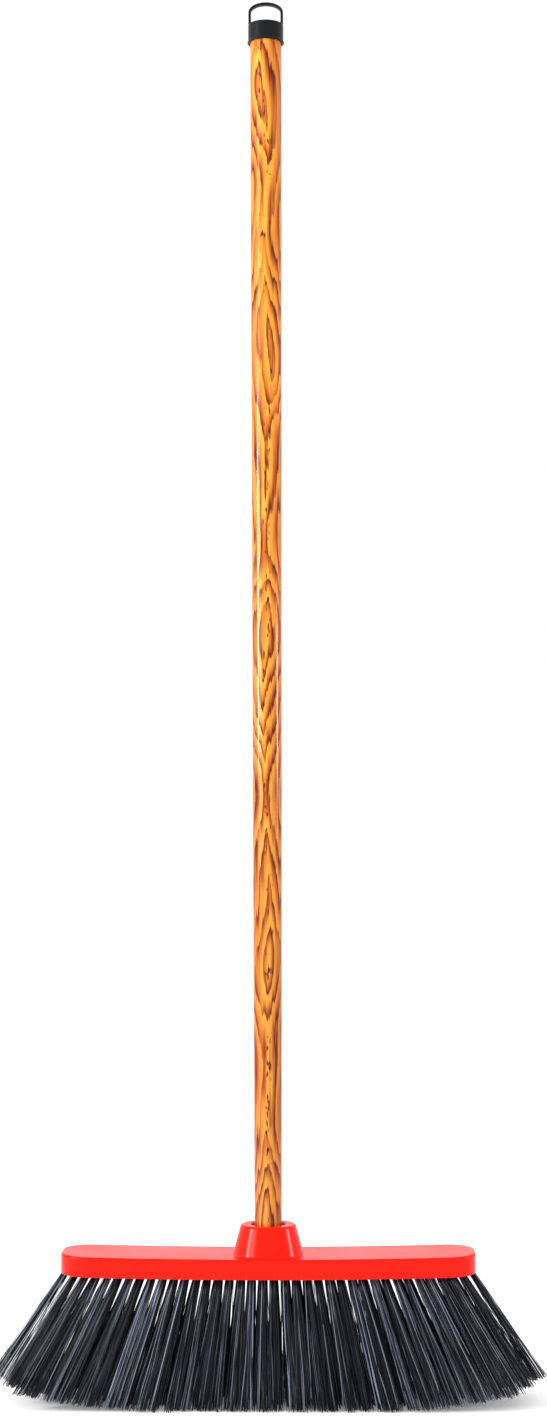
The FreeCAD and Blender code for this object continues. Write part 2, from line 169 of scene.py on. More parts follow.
def add(tree, kind, inputs=(), **settings):
    """Adds a node with its settings, fills each (input, value) pair and returns the node's first output."""
    made = tree.nodes.new("ShaderNode" + kind)
    for key, value in settings.items():
        setattr(made, key, value)
    for key, value in inputs:
        if isinstance(value, bpy.types.NodeSocket):
            tree.links.new(value, made.inputs[key])
        else:
            made.inputs[key].default_value = value
    return made.outputs[0]


def maths(tree, operation, *values, clamp=False):
    """A Math node on one to three numbers or sockets."""
    return add(tree, "Math", list(enumerate(values)), operation=operation, use_clamp=clamp)


def spread(tree, value, low, high, new_low=0.0, new_high=1.0):
    """A Map Range node: low becomes new_low, high becomes new_high, and what is between stays in between."""
    ends = [("From Min", low), ("From Max", high), ("To Min", new_low), ("To Max", new_high)]
    return add(tree, "MapRange", [("Value", value)] + ends)


def tinted(tree, colour, tint, share=1.0):
    """A colour multiplied by a tint, blended in by a share."""
    return add(tree, "MixRGB", [("Fac", share), ("Color1", colour), ("Color2", tint)], blend_type="MULTIPLY")


def colour_ramp(tree, share, stops):
    """Colours along a share from 0 to 1. Each stop is a place and a linear colour."""
    made = tree.nodes.new("ShaderNodeValToRGB")
    for place, colour in stops[1:-1]:
        made.color_ramp.elements.new(place)
    for element, (place, colour) in zip(made.color_ramp.elements, stops):
        element.position = place
        element.color = (*colour, 1)
    tree.links.new(share, made.inputs["Fac"])
    return made.outputs["Color"]


def stretched_noise(tree, scale, size, detail=3.0, roughness=0.55):
    """Noise on Object coordinates that are first scaled by (x, y, z), so that it can be drawn out along Z."""
    place = tree.nodes.new("ShaderNodeTexCoord").outputs["Object"]
    drawn = add(tree, "Mapping", [("Vector", place), ("Scale", scale)])
    settings = [("Vector", drawn), ("Scale", size), ("Detail", detail), ("Roughness", roughness)]
    return add(tree, "TexNoise", settings)


def bump(tree, shader, height, depth, strength=1.0):
    """Feeds the shader a normal that rises by depth metres where height is 1."""
    made = tree.nodes.new("ShaderNodeBump")
    made.inputs["Strength"].default_value = strength
    made.inputs["Distance"].default_value = depth
    tree.links.new(height, made.inputs["Height"])
    tree.links.new(made.outputs["Normal"], shader.inputs["Normal"])


def feed(tree, shader, **sockets):
    """Links outputs, or sets numbers, on the shader's inputs. An underscore stands for a space."""
    for key, value in sockets.items():
        target = shader.inputs[key.replace("_", " ")]
        if isinstance(value, bpy.types.NodeSocket):
            tree.links.new(value, target)
        else:
            target.default_value = value


# %% [markdown]
# ## Camera and stage
# The broom stands upright and is seen from about knee height, a little over two metres away, so the camera
# looks down on the block and up at the cap. The stage is one wide pale floor. It has no wall, so the
# broom can be walked round, and at the horizon it meets a sky that is as bright.

# %% Camera
CAMERA_PLACE = (0.0398, -2.2721, 0.5333)
CAMERA_PITCH = 3.238
CAMERA_YAW = 0.848
CAMERA_ROLL = -0.128
SENSOR_HEIGHT = 36.0
FOCAL_LENGTH = 59.45

camera_data = bpy.data.cameras.new("camera")
camera_data.sensor_fit = "VERTICAL"
camera_data.sensor_height = SENSOR_HEIGHT
camera_data.lens = FOCAL_LENGTH
camera = bpy.data.objects.new("camera", camera_data)
camera.matrix_world = (
    Matrix.Translation(CAMERA_PLACE)
    @ Matrix.Rotation(math.radians(CAMERA_YAW), 4, "Z")
    @ Matrix.Rotation(math.radians(90 + CAMERA_PITCH), 4, "X")
    @ Matrix.Rotation(math.radians(CAMERA_ROLL), 4, "Z")
)
bpy.context.scene.collection.objects.link(camera)
bpy.context.scene.camera = camera
print("camera height", CAMERA_PLACE[2])

# %% Stage
FLOOR_R = 30.0
FLOOR_SIDES = 96
FLOOR_COLOUR = (0.90, 0.90, 0.90, 1)
FLOOR_GLOW = 0.15

turn = np.linspace(0, 2 * np.pi, FLOOR_SIDES, endpoint=False)
floor_mesh = bpy.data.meshes.new("stage")
floor_rim = np.stack([FLOOR_R * np.cos(turn), FLOOR_R * np.sin(turn), np.zeros(FLOOR_SIDES)], axis=-1)
floor_mesh.from_pydata(floor_rim, [], [list(range(FLOOR_SIDES))])
stage = bpy.data.objects.new("stage", floor_mesh)
bpy.context.scene.collection.objects.link(stage)
pale, tree, shader = new_material("pale_floor")
feed(tree, shader, Base_Color=FLOOR_COLOUR, Roughness=0.9, Specular_IOR_Level=0.1)
feed(tree, shader, Emission_Color=(1, 1, 1, 1), Emission_Strength=FLOOR_GLOW)
floor_mesh.materials.append(pale)
print("floor radius", FLOOR_R)

# %% [markdown]
# ## Light
# An even white sky lights the broom from all round, so its colours come out clean and the block's top,
# seen at a shallow angle, mirrors it as glossy plastic does. A wide soft box on the left adds a direction,
# which keeps the gaps between the bristles dark. Beside it a small upright strip draws the white line on
# the left of the handle. A small box on the right, low down, draws the slanted glint on the socket's cone.


# %% Light
def soft_box(name, place, target, size, watts):
    """A rectangular area light that faces a target."""
    data = bpy.data.lights.new(name, "AREA")
    data.shape = "RECTANGLE"
    data.size, data.size_y = size
    data.energy = watts
    lamp = bpy.data.objects.new(name, data)
    facing = (Vector(target) - Vector(place)).to_track_quat("-Z", "Y")
    lamp.matrix_world = Matrix.Translation(place) @ facing.to_matrix().to_4x4()
    bpy.context.scene.collection.objects.link(lamp)


soft_box("key", place=(-2.6, -1.6, 1.3), target=(0, 0, 0.5), size=(0.9, 1.8), watts=42.0)
soft_box("strip", place=(-2.1, -0.62, 1.05), target=(0, 0, 1.0), size=(0.20, 0.70), watts=36.0)
soft_box("glint", place=(2.2, -0.1, 0.78), target=(0, 0, 0.3), size=(0.10, 0.34), watts=13.0)

SKY_COLOUR = (1.0, 1.0, 1.0, 1)
SKY_STRENGTH = 1.0
world = bpy.data.worlds.new("studio")
world.use_nodes = True
sky = world.node_tree.nodes["Background"]
sky.inputs["Color"].default_value = SKY_COLOUR
sky.inputs["Strength"].default_value = SKY_STRENGTH
bpy.context.scene.world = world
bpy.context.scene.view_settings.view_transform = "Standard"

# %% [markdown]
# ## Red moulded plastic
# The block is one shiny moulding. Dyed plastic has an even colour, so its life comes from the surface: a
# faint orange peel from the mould and slow waves where thick walls sank as they cooled. Both are bumps.
# A thin clear coat on the same shader would shine twice, so the shine is the plastic's own.

# %% Red plastic
RED = (0.95, 0.008, 0.001)
DEEP_RED = (0.86, 0.006, 0.001)
PEEL_SHARE = 0.04
WAVE_DEPTH = 0.25 * MM

red_plastic, tree, shader = new_material("red_moulded_plastic")
cloud = stretched_noise(tree, (1, 1, 1), 22.0, detail=2.0)
peel = stretched_noise(tree, (1, 1, 1), 900.0, detail=2.0)
sink = stretched_noise(tree, (1, 1, 1), 40.0, detail=1.0)
tone = colour_ramp(tree, cloud, [(0.3, DEEP_RED), (0.7, RED)])
gloss = spread(tree, cloud, 0.3, 0.7, 0.16, 0.24)
surface = maths(tree, "MULTIPLY_ADD", peel, PEEL_SHARE, sink)
feed(tree, shader, Base_Color=tone, Roughness=gloss, IOR=1.5, Specular_IOR_Level=0.12)
bump(tree, shader, surface, WAVE_DEPTH, 0.35)
print("made", red_plastic.name)

# %% [markdown]
# ## The thread
# The ferrule's ridge and the socket's groove are one right-handed helix. On a turned piece the helix needs
# no sweep: the radius grows wherever a point is near a turn. So one function gives how far the ridge stands
# out at an angle and a height, and the socket uses it again with the clearance added.

# %% Thread sizes and formula
THREAD_PITCH = 5.0 * MM
THREAD_ROOT_R = 9.0 * MM
THREAD_HEIGHT = 1.5 * MM
THREAD_BASE = 2.6 * MM
THREAD_CREST = 1.2 * MM
THREAD_CLEARANCE = 0.3 * MM
THREAD_FADE = 0.4 * MM
COLLAR_HEIGHT = 3.0 * MM
LEDGE_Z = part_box("threaded_ferrule")[1][2] - COLLAR_HEIGHT


def ridge(turn, z, grow, low, high):
    """The height of the thread times a ramp: 1 within half the crest width of a turn, 0 past half the base
    width. The distance to the nearest turn is the remainder of z - pitch * turn / 360 degrees. The ramp
    fades to nothing past low and high."""
    along = z - LEDGE_Z - THREAD_PITCH * turn / (2 * np.pi)
    off = np.abs((along + THREAD_PITCH / 2) % THREAD_PITCH - THREAD_PITCH / 2)
    ramp = np.clip((THREAD_BASE / 2 + grow - off) / ((THREAD_BASE - THREAD_CREST) / 2), 0, 1)
    fade = np.clip((z - low) / THREAD_FADE, 0, 1) * np.clip((high - z) / THREAD_FADE, 0, 1)
    return THREAD_HEIGHT * ramp * fade


print("ledge height", round(LEDGE_Z, 4))

# %% [markdown]
# ## The block
# The block is a slab with round ends that arches a little, so its two ends stand higher than its middle. It
# could be a box with bevels, but the bevels would pinch where the socket grows out of it. Instead it is one
# stack of rings that starts under the middle, runs out to the rim, up the side, in over the top, up the
# cone, over the socket's lip and down the bore. The outer rings are rounded rectangles and the inner ones
# are circles, and on the top face each ring blends from the one to the other.

# %% Block sizes
block_low, block_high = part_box("broom_block")
HALF_LENGTH = block_high[0]
HALF_DEPTH = block_high[1]
UNDERSIDE = block_low[2]
RIM_Z = block_high[2]
THICKNESS = 19.0 * MM
CORNER_R = 28.0 * MM
ARCH = 3.0 * MM
TOP_EDGE_R = 2.0 * MM
BOTTOM_EDGE_R = 0.8 * MM
ARCH_R = (HALF_LENGTH**2 + ARCH**2) / (2 * ARCH)
COLUMNS = 224
UNDER_RINGS = 16
TOP_RINGS = 34
GROOVE_RINGS = 96
FOOT_RINGS = 6


def arch(x):
    """How much higher the arched block is at x than at its middle, on a large circle."""
    return ARCH_R - np.sqrt(ARCH_R**2 - x**2)


def rounded_outline(inset):
    """Points equally spaced along a rectangle with round corners, from the +X end anticlockwise. Each
    corner's arc is a circle pushed out to the corner's centre by the signs of its cosine and sine."""
    angle = np.linspace(0, 2 * np.pi, 400)
    radius = CORNER_R - inset
    x = np.sign(np.round(np.cos(angle), 9)) * (HALF_LENGTH - CORNER_R) + radius * np.cos(angle)
    y = np.sign(np.round(np.sin(angle), 9)) * (HALF_DEPTH - CORNER_R) + radius * np.sin(angle)
    length = np.concatenate([[0], np.cumsum(np.hypot(np.diff(x), np.diff(y)))])
    wanted = np.linspace(0, length[-1], COLUMNS, endpoint=False)
    return np.stack([np.interp(wanted, length, x), np.interp(wanted, length, y)], axis=-1)


def slab_ring(outline, z):
    """An outline at height z, lifted along the arch."""
    return np.column_stack([outline, z + arch(outline[:, 0])])


print("block length", round(2 * HALF_LENGTH, 3), "arch radius", round(ARCH_R, 2))

# %% Block rings
SOCKET_BASE_R = 34.0 * MM
SOCKET_TOP_R = 26.2 * MM
FOOT_R = 1.9 * MM
LIP_R = 3.0 * MM
MOUTH_R = 16.3 * MM
MOUTH_ROUND = 1.4 * MM
LEDGE_GAP = 0.6 * MM
LEDGE_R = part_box("threaded_ferrule")[1][0] + LEDGE_GAP
BORE_DEPTH = 29.5 * MM
BORE_END = LEDGE_Z - BORE_DEPTH
TOP_Z = UNDERSIDE + THICKNESS
BORE_R = THREAD_ROOT_R + THREAD_CLEARANCE

slope = np.array([SOCKET_TOP_R - SOCKET_BASE_R, RIM_Z - TOP_Z])
outward = np.array([slope[1], -slope[0]]) / np.hypot(*slope)
lean = math.degrees(math.atan2(outward[1], outward[0]))
foot_centre = (SOCKET_BASE_R + FOOT_R * (1 - outward[1]) / outward[0], TOP_Z + FOOT_R)
lip_centre = (SOCKET_TOP_R - LIP_R * (1 - outward[1]) / outward[0], RIM_Z - LIP_R)


def slab_rings():
    """The rings from under the middle out and up to the edge of the top face."""
    rings = []
    for share in np.linspace(0.04, 1, UNDER_RINGS):
        rings.append(slab_ring(share * rounded_outline(BOTTOM_EDGE_R), UNDERSIDE))
    for a in np.radians([22.5, 45, 67.5, 90]):
        outline = rounded_outline(BOTTOM_EDGE_R * (1 - math.sin(a)))
        rings.append(slab_ring(outline, UNDERSIDE + BOTTOM_EDGE_R * (1 - math.cos(a))))
    for share in (0.2, 0.4, 0.6, 0.8):
        rings.append(slab_ring(rounded_outline(0), UNDERSIDE + share * THICKNESS))
    for a in np.radians(np.linspace(0, 90, 8)):
        outline = rounded_outline(TOP_EDGE_R * (1 - math.cos(a)))
        rings.append(slab_ring(outline, TOP_Z - TOP_EDGE_R * (1 - math.sin(a))))
    return np.array(rings)


def top_rings():
    """The rings of the top face: a blend, share by share, from the slab's edge to the foot of the socket."""
    turn = np.linspace(0, 2 * np.pi, COLUMNS, endpoint=False)
    foot = foot_centre[0] * np.stack([np.cos(turn), np.sin(turn)], axis=-1)
    share = np.linspace(0, 1, TOP_RINGS)[1:, None, None]
    flat = (1 - share) * rounded_outline(TOP_EDGE_R) + share * foot
    return np.concatenate([flat, (TOP_Z + arch(flat[..., 0]))[..., None]], axis=-1)


def socket_rings():
    """The rings of the socket, outside and in, from its foot to the end of its bore. The lowest of them
    follow the arch of the top face, each less than the one before."""
    wall = np.concatenate(
        [
            arc_profile(foot_centre, FOOT_R, 270, 180 + lean, 9)[1:],
            straight_profile(foot_centre - FOOT_R * outward, lip_centre + LIP_R * outward, 12)[1:],
            arc_profile(lip_centre, LIP_R, lean, 90, 9)[1:],
            arc_profile((MOUTH_R + MOUTH_ROUND, RIM_Z - MOUTH_ROUND), MOUTH_ROUND, 90, 180, 7),
            straight_profile((MOUTH_R, RIM_Z - MOUTH_ROUND), (LEDGE_R, LEDGE_Z), 8)[1:],
            straight_profile((LEDGE_R, LEDGE_Z), (BORE_R + THREAD_HEIGHT, LEDGE_Z), 3)[1:],
        ]
    )
    turn = np.linspace(0, 2 * np.pi, COLUMNS, endpoint=False)
    down = np.linspace(LEDGE_Z, BORE_END, GROOVE_RINGS)
    groove = BORE_R + ridge(turn[None, :], down[:, None], THREAD_CLEARANCE, BORE_END - MM, LEDGE_Z + MM)
    floor = circle_rings([BORE_R * 0.9, BORE_R * 0.1], [BORE_END, BORE_END], COLUMNS)
    rings = circle_rings(wall[:, 0], wall[:, 1], COLUMNS)
    foot = rings[:FOOT_RINGS]
    foot[..., 2] += arch(foot[..., 0]) * np.linspace(0.8, 0, FOOT_RINGS)[:, None]
    return np.concatenate([rings, circle_rings(groove, down, COLUMNS), floor])


block_stack = np.concatenate([slab_rings(), top_rings(), socket_rings()])
block_piece = ring_piece("block_shell", block_stack, sharp_degrees=50.0)
dress(block_piece, red_plastic, "head", "block_plastic", "broom_block")

# %% [markdown]
# ## Bristles
# A bristle tuft is a bundle of stiff plastic filaments, folded double over a flat wire and pulled into its
# hole. Cones with a striped texture would look solid against the light, so every filament is a thin piece
# of its own. The CAD anchors say where each tuft starts. Like the hole it sits in, a tuft leans outwards in
# proportion to its distance from the middle of the block. Its filaments fan out in proportion to their places
# in the bundle, bend a little, and are cut at the trim line.

# %% Bristle sizes
FILAMENTS = 54
LOCKS = 8
LOCK_HOLD = 0.5
FILAMENT_R = 0.42 * MM
HOLE_R = 2.8 * MM
START_DEPTH = 4.0 * MM
SPLAY = 3.0
STRAY = 0.7
TRIM_FLAT = 100.0 * MM
TRIM_R = 640.0 * MM
TRIM_SPAN = TRIM_R * 0.9
FIRST_TRIM_Z = 0.01
UNEVEN_CUT = 1.3 * MM
SHORT_SHARE = 0.04
SHORT_BY = 9 * MM
BOW = 2.2 * MM
WAVE = 0.5 * MM
WAVES = 9
OWN_TONE = 0.88
TUFT_TONE = 0.12
RINGS = 7
SIDES = 3
ROWS = ["row_1_front", "row_2", "row_3_middle", "row_4", "row_5_rear"]
ANCHOR_APART = 6.0 * MM
END_LEAN = 35.0
ROW_LEAN = 3.5
dice = np.random.default_rng(20)


def tuft_axes(row):
    """The centre and the unit axis of each tuft in a row. The centre is its anchor's: the CAD row's points,
    sorted along X, fall into one group for each anchor. The axis leans outwards in proportion to how far the
    tuft is from the middle, along X by the tuft's own place and along Y by the row's."""
    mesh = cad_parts["anchors_" + row].data
    points = np.empty(len(mesh.vertices) * 3)
    mesh.vertices.foreach_get("co", points)
    points = points.reshape(-1, 3)
    points = points[np.argsort(points[:, 0])]
    starts = np.flatnonzero(np.diff(points[:, 0]) > ANCHOR_APART) + 1
    centres = np.array([group.mean(axis=0) for group in np.split(points, starts)])
    lean_x = np.radians(END_LEAN * centres[:, 0] / HALF_LENGTH)
    lean_y = np.full(len(centres), math.radians(ROW_LEAN * (ROWS.index(row) - 2)))
    down = np.stack([np.tan(lean_x), np.tan(lean_y), -np.ones(len(centres))], axis=-1)
    return centres, down / np.linalg.norm(down, axis=1, keepdims=True)


def trim_height(x):
    """The height of the cut tips: level in the middle, and a circle that rises past it."""
    past = np.clip(np.abs(x) - TRIM_FLAT, 0, TRIM_SPAN)
    return TRIM_R - np.sqrt(TRIM_R**2 - past**2)


print("tufts in the front row", len(tuft_axes(ROWS[0])[0]))


# %% Bristle rows
def disc_places(count):
    """Random places in a unit disc: the square root of a random share keeps them even over the area."""
    share = np.sqrt(dice.random(count))
    angle = dice.random(count) * 2 * np.pi
    return np.stack([share * np.cos(angle), share * np.sin(angle)], axis=-1)


def filament_lines(centres, down):
    """The middle line of every filament, as tufts x filaments x points. A filament leaves the hole at a
    random place in its disc, and its direction is the tuft's axis, turned outwards by that place times the
    splay, plus a random stray. Filaments cling together in locks, so the place that turns them is a weighted
    mean of their own and their lock's. A filament runs until the trim height, and bows by the square of the
    run."""
    tufts = len(centres)
    side = np.cross(down, (0.0, 1.0, 0.0))
    side /= np.linalg.norm(side, axis=1, keepdims=True)
    front = np.cross(side, down)
    own = disc_places((tufts, FILAMENTS))
    locks = disc_places((tufts, LOCKS))
    held = locks[np.arange(tufts)[:, None], dice.integers(0, LOCKS, (tufts, FILAMENTS))]
    turned = (1 - LOCK_HOLD) * own + LOCK_HOLD * held
    tilt = turned * math.tan(math.radians(SPLAY)) + dice.normal(0, math.tan(math.radians(STRAY)), own.shape)
    aim = down[:, None] + side[:, None] * tilt[..., :1] + front[:, None] * tilt[..., 1:]
    off = (side[:, None] * own[..., :1] + front[:, None] * own[..., 1:]) * HOLE_R
    to_hole = (centres[:, 2] - UNDERSIDE - arch(centres[:, 0]) - START_DEPTH) / -down[:, 2]
    start = (centres + down * to_hole[:, None])[:, None] + off
    reach = (start[..., 2:] - FIRST_TRIM_Z) / -aim[..., 2:]
    for _ in range(3):
        reach = (start[..., 2:] - trim_height(start[..., :1] + aim[..., :1] * reach)) / -aim[..., 2:]
    ragged = np.abs(dice.normal(0, UNEVEN_CUT, reach.shape))
    ragged += (dice.random(reach.shape) < SHORT_SHARE) * SHORT_BY
    reach = (reach - ragged)[:, :, None]
    run = np.linspace(0, 1, RINGS)[:, None]
    bow = dice.normal(0, BOW, (tufts, FILAMENTS, 1, 3)) * (1, 1, 0)
    wave = dice.normal(0, WAVE, (tufts, FILAMENTS, 1, 3)) * (1, 1, 0)
    wave = wave * np.sin(run * WAVES + own[..., :1, None] * np.pi)
    return start[:, :, None] + aim[:, :, None] * reach * run + bow * (run**2 - run) + wave * run


def filament_mesh(name, lines):
    """Three-sided filaments along their lines, each closed by a triangle at both ends."""
    lines = lines.reshape(-1, RINGS, 3)
    count = len(lines)
    turn = np.arange(SIDES) * 2 * np.pi / SIDES
    twist = dice.random((count, 1, 1)) * 2 * np.pi
    around = np.stack([np.cos(turn + twist), np.sin(turn + twist), np.zeros_like(turn + twist)], axis=-1)
    thick = FILAMENT_R * dice.uniform(0.8, 1.15, (count, 1, 1, 1))
    points = (lines[:, :, None] + around * thick).reshape(-1, 3)
    each = RINGS * SIDES
    first = (np.arange(count) * each)[:, None]
    quads = (first[:, None] + ring_quads(RINGS, SIDES, False)[None]).reshape(-1, 4)
    ends = np.array([[2, 1, 0], [each - 3, each - 2, each - 1]])
    triangles = (first[:, None] + ends[None]).reshape(-1, 3)
    piece = add_mesh(name, points, quads, triangles, sharp_degrees=180.0)
    tone = piece.data.attributes.new("tone", "FLOAT", "POINT")
    shade = OWN_TONE * dice.random(count) + TUFT_TONE * np.repeat(dice.random(count // FILAMENTS), FILAMENTS)
    tone.data.foreach_set("value", np.repeat(shade, each))
    print(name, "filaments", count, "triangles", 2 * len(quads) + len(triangles))
    return piece


FIBRE_BLACK = (0.002, 0.0025, 0.005)
FIBRE_GREY = (0.018, 0.021, 0.033)
# The palest filament colour is a painted highlight, not the bristles' own colour.
FIBRE_PAINTED_GLINT = (0.34, 0.38, 0.50)
fibre, tree, shader = new_material("bristle_filament")
add(tree, "Attribute", attribute_name="tone")
tone = tree.nodes[-1].outputs["Fac"]
# Each filament gets a random shade from black to grey, which is real variation. The palest share gets a
# blue-grey colour, which is a painted highlight standing in for light glinting along the filament.
fibre_tones_and_glints = [(0.35, FIBRE_BLACK), (0.50, FIBRE_GREY), (0.74, FIBRE_GREY), (0.95, FIBRE_PAINTED_GLINT)]
fibre_colour = colour_ramp(tree, tone, fibre_tones_and_glints)
feed(tree, shader, Base_Color=fibre_colour, Roughness=0.30, IOR=1.5, Specular_IOR_Level=0.3)

for row in ROWS:
    filaments = filament_mesh("filaments_" + row, filament_lines(*tuft_axes(row)))
    dress(filaments, fibre, "head", "bristle_fibre", "bristles_" + row)

# %% [markdown]
# ## Wood-print film
# The stick wears a shiny film printed like pine. Where a saw or a lathe grazes year rings they show as
# nested flames, drawn out along the wood. The print has that look, so the pattern is one sum: how far a
# point is round the stick from the flame's middle line, plus a slow wave along the stick. The sum is cut
# into steps of 1, and each step fades from gold to a dark line. Where the wave rises the flames point one
# way, where it falls they point the other way, and between the two a flame closes into a leaf.

# %% Wood print
RINGS_ROUND = 3.1
RINGS_ALONG = 10.0
GOLD = (0.92, 0.36, 0.040)
AMBER = (0.70, 0.22, 0.022)
ORANGE = (0.50, 0.120, 0.010)
BROWN = (0.27, 0.042, 0.004)
DARK_BROWN = (0.090, 0.008, 0.001)
# The next tint is painted shade for the stick's sides.
SIDE_SHADE_TINT = (0.74, 0.60, 0.50)
# The next tint is painted shade for the lower stick.
LOW_SHADE_TINT = (0.74, 0.76, 0.95)
DARK_STREAK = (0.55, 0.38, 0.28)
PALE_STREAK = (1.12, 1.05, 0.95)

print_film, tree, shader = new_material("wood_print_film")
place = tree.nodes.new("ShaderNodeTexCoord").outputs["Object"]
parts = tree.nodes.new("ShaderNodeSeparateXYZ")
tree.links.new(place, parts.inputs["Vector"])
x, y, z = (parts.outputs[axis] for axis in "XYZ")


def wave(tree, height, size, reach, offset, detail=1.0):
    """A slow wave along the stick: noise of one number, between minus and plus half the reach."""
    moved = maths(tree, "ADD", height, offset)
    settings = [("W", moved), ("Scale", size), ("Detail", detail)]
    noise = add(tree, "TexNoise", settings, noise_dimensions="1D")
    return maths(tree, "MULTIPLY", maths(tree, "SUBTRACT", noise, 0.5), reach)


turn = maths(tree, "ARCTAN2", x, maths(tree, "MULTIPLY", y, -1.0))
turn = maths(tree, "SUBTRACT", turn, wave(tree, z, 6.0, 1.5, 3.1))
facing = maths(tree, "COSINE", turn)
round_share = maths(tree, "SQRT", maths(tree, "MULTIPLY_ADD", facing, -0.5, 0.5003))
waver = stretched_noise(tree, (1, 1, 0.07), 170.0, detail=3.0)
rise_and_fall = wave(tree, z, 4.5, RINGS_ALONG, 8.0, detail=0.6)
rings = maths(tree, "MULTIPLY_ADD", round_share, RINGS_ROUND, rise_and_fall)
rings = maths(tree, "MULTIPLY_ADD", waver, 1.7, rings)
phase = maths(tree, "FRACT", rings)
pale_steps = [(0.0, GOLD), (0.28, GOLD), (0.48, AMBER)]
dark_steps = [(0.64, ORANGE), (0.78, BROWN), (0.90, DARK_BROWN), (1.0, AMBER)]
grain = colour_ramp(tree, phase, pale_steps + dark_steps)
body = colour_ramp(tree, phase, [(0.0, GOLD), (0.6, AMBER), (1.0, ORANGE)])
patch = stretched_noise(tree, (1, 1, 0.10), 110.0, detail=2.0)
strong = spread(tree, patch, 0.38, 0.52)
printed = add(tree, "MixRGB", [("Fac", strong), ("Color1", body), ("Color2", grain)])

near_middle = spread(tree, round_share, 0.20, 0.04)
fleck = stretched_noise(tree, (1, 1, 0.30), 330.0, detail=1.0)
knots = spread(tree, fleck, 0.60, 0.68)
dots = maths(tree, "MULTIPLY", near_middle, knots)
printed = add(tree, "MixRGB", [("Fac", dots), ("Color1", printed), ("Color2", (*DARK_BROWN, 1))])
# Painted shade: the print is darkened towards the sides of the stick, away from its front.
side_shade = colour_ramp(tree, round_share, [(0.10, (1, 1, 1)), (0.45, SIDE_SHADE_TINT)])
printed = tinted(tree, printed, side_shade)
# Painted shade: the print turns darker and bluer towards the bottom of the stick.
lower = spread(tree, z, 0.95, 0.25)
low_shade = colour_ramp(tree, lower, [(0.0, (1, 1, 1)), (1.0, LOW_SHADE_TINT)])
printed = tinted(tree, printed, low_shade)

streak = stretched_noise(tree, (1, 1, 0.02), 650.0, detail=4.0, roughness=0.65)
streak_stops = [(0.28, DARK_STREAK), (0.45, (1, 1, 1)), (0.75, PALE_STREAK)]
streaks = colour_ramp(tree, streak, streak_stops)
printed = tinted(tree, printed, streaks, share=0.7)

wrinkle = stretched_noise(tree, (1, 1, 0.12), 130.0, detail=3.0)
pimple = stretched_noise(tree, (1, 1, 0.5), 900.0, detail=2.0)
relief = maths(tree, "MULTIPLY_ADD", pimple, 0.12, wrinkle)
feed(tree, shader, Base_Color=printed, Roughness=0.14, IOR=1.5, Specular_IOR_Level=0.25)
bump(tree, shader, relief, 0.35 * MM, 0.4)
print("made", print_film.name)

# %% [markdown]
# ## The handle sleeve
# The film is a tube shrunk onto the stick, which is a little thicker at the top, so it follows every small
# unevenness of the wood. It is a turned wall whose profile closes on itself, and its outer radius varies by
# a tenth of a millimetre.

# %% Handle sleeve
sleeve_low, sleeve_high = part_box("handle_film")
SLEEVE_TOP_R = sleeve_high[0]
SLEEVE_FOOT_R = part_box("threaded_ferrule")[1][0]
SLEEVE_WALL = 0.4 * MM
UNEVEN = 0.06 * MM


def sleeve_rings(columns=72, count=240):
    """Outer rings upwards, then two inner rings back down. The radius is less by a sum of slow sine waves
    of the angle and the height."""
    turn = np.linspace(0, 2 * np.pi, columns, endpoint=False)[None, :]
    z = np.linspace(sleeve_low[2], sleeve_high[2], count)
    h = z[:, None]
    waves = np.sin(2 * turn + 9 * h) + np.sin(3 * turn - 23 * h + 1) + 0.6 * np.sin(turn + 61 * h)
    stick_r = np.linspace(SLEEVE_FOOT_R, SLEEVE_TOP_R, count)[:, None]
    outer = circle_rings(stick_r - UNEVEN * (1 + waves / 2.6), z, columns)
    inner = circle_rings([SLEEVE_TOP_R - SLEEVE_WALL, SLEEVE_FOOT_R - SLEEVE_WALL], [z[-1], z[0]], columns)
    return np.concatenate([outer, inner])


sleeve = ring_piece("handle_sleeve", sleeve_rings(), looped=True)
dress(sleeve, print_film, "handle", "wood_print_film", "handle_film")

# %% [markdown]
# ## Black moulded plastic
# The cap is a satin black moulding, and the ferrule is the same plastic with a duller skin.

# %% Black plastics
def black_plastic(name, colour, gloss, grain_size, depth):
    """A dark moulded plastic with a fine grain and a slightly uneven shine."""
    material, tree, shader = new_material(name)
    cloud = stretched_noise(tree, (1, 1, 1), 120.0, detail=3.0)
    grain = stretched_noise(tree, (1, 1, 1), grain_size, detail=2.0)
    lighter = tuple(1.5 * part for part in colour)
    tone = colour_ramp(tree, cloud, [(0.3, colour), (0.75, lighter)])
    shine = spread(tree, cloud, 0.3, 0.7, gloss - 0.05, gloss + 0.07)
    feed(tree, shader, Base_Color=tone, Roughness=shine, IOR=1.5, Specular_IOR_Level=0.15)
    bump(tree, shader, grain, depth, 0.4)
    return material


cap_black = black_plastic("cap_satin_black", (0.004, 0.005, 0.006), 0.34, 2200.0, 0.05 * MM)
ferrule_black = black_plastic("ferrule_black", (0.022, 0.022, 0.024), 0.42, 1500.0, 0.04 * MM)
print("made", cap_black.name, ferrule_black.name)

# %% [markdown]
# ## The cap and its loop
# The cap is a thin cup pushed over the stick's end, with a rolled lip round its mouth. A flat band rises
# from its roof in an arch to hang the broom by. The cup is turned. The band is a rounded rectangle carried
# along the arch, and it thickens into the roof with a small fillet inside each foot.

# %% Cap cup
cap_low, cap_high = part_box("hanger_cap")
LIP = 0.7 * MM
CUP_R = cap_high[0] - LIP
CUP_LOW = cap_low[2]
CEILING = sleeve_high[2]
ROOF = CEILING + 1.6 * MM
CUP_INNER_R = SLEEVE_TOP_R + 0.05 * MM
ROOF_ROUND = 0.7 * MM
LIP_HEIGHT = 2.2 * MM
LIP_END = CUP_LOW + LIP_HEIGHT
LIP_STEP = 0.02 * MM
LIP_BLEND = 0.3 * MM
MOUTH_EDGE_R = 0.3 * MM
POLE_SHARE = 0.05
CUP_COLUMNS = 96

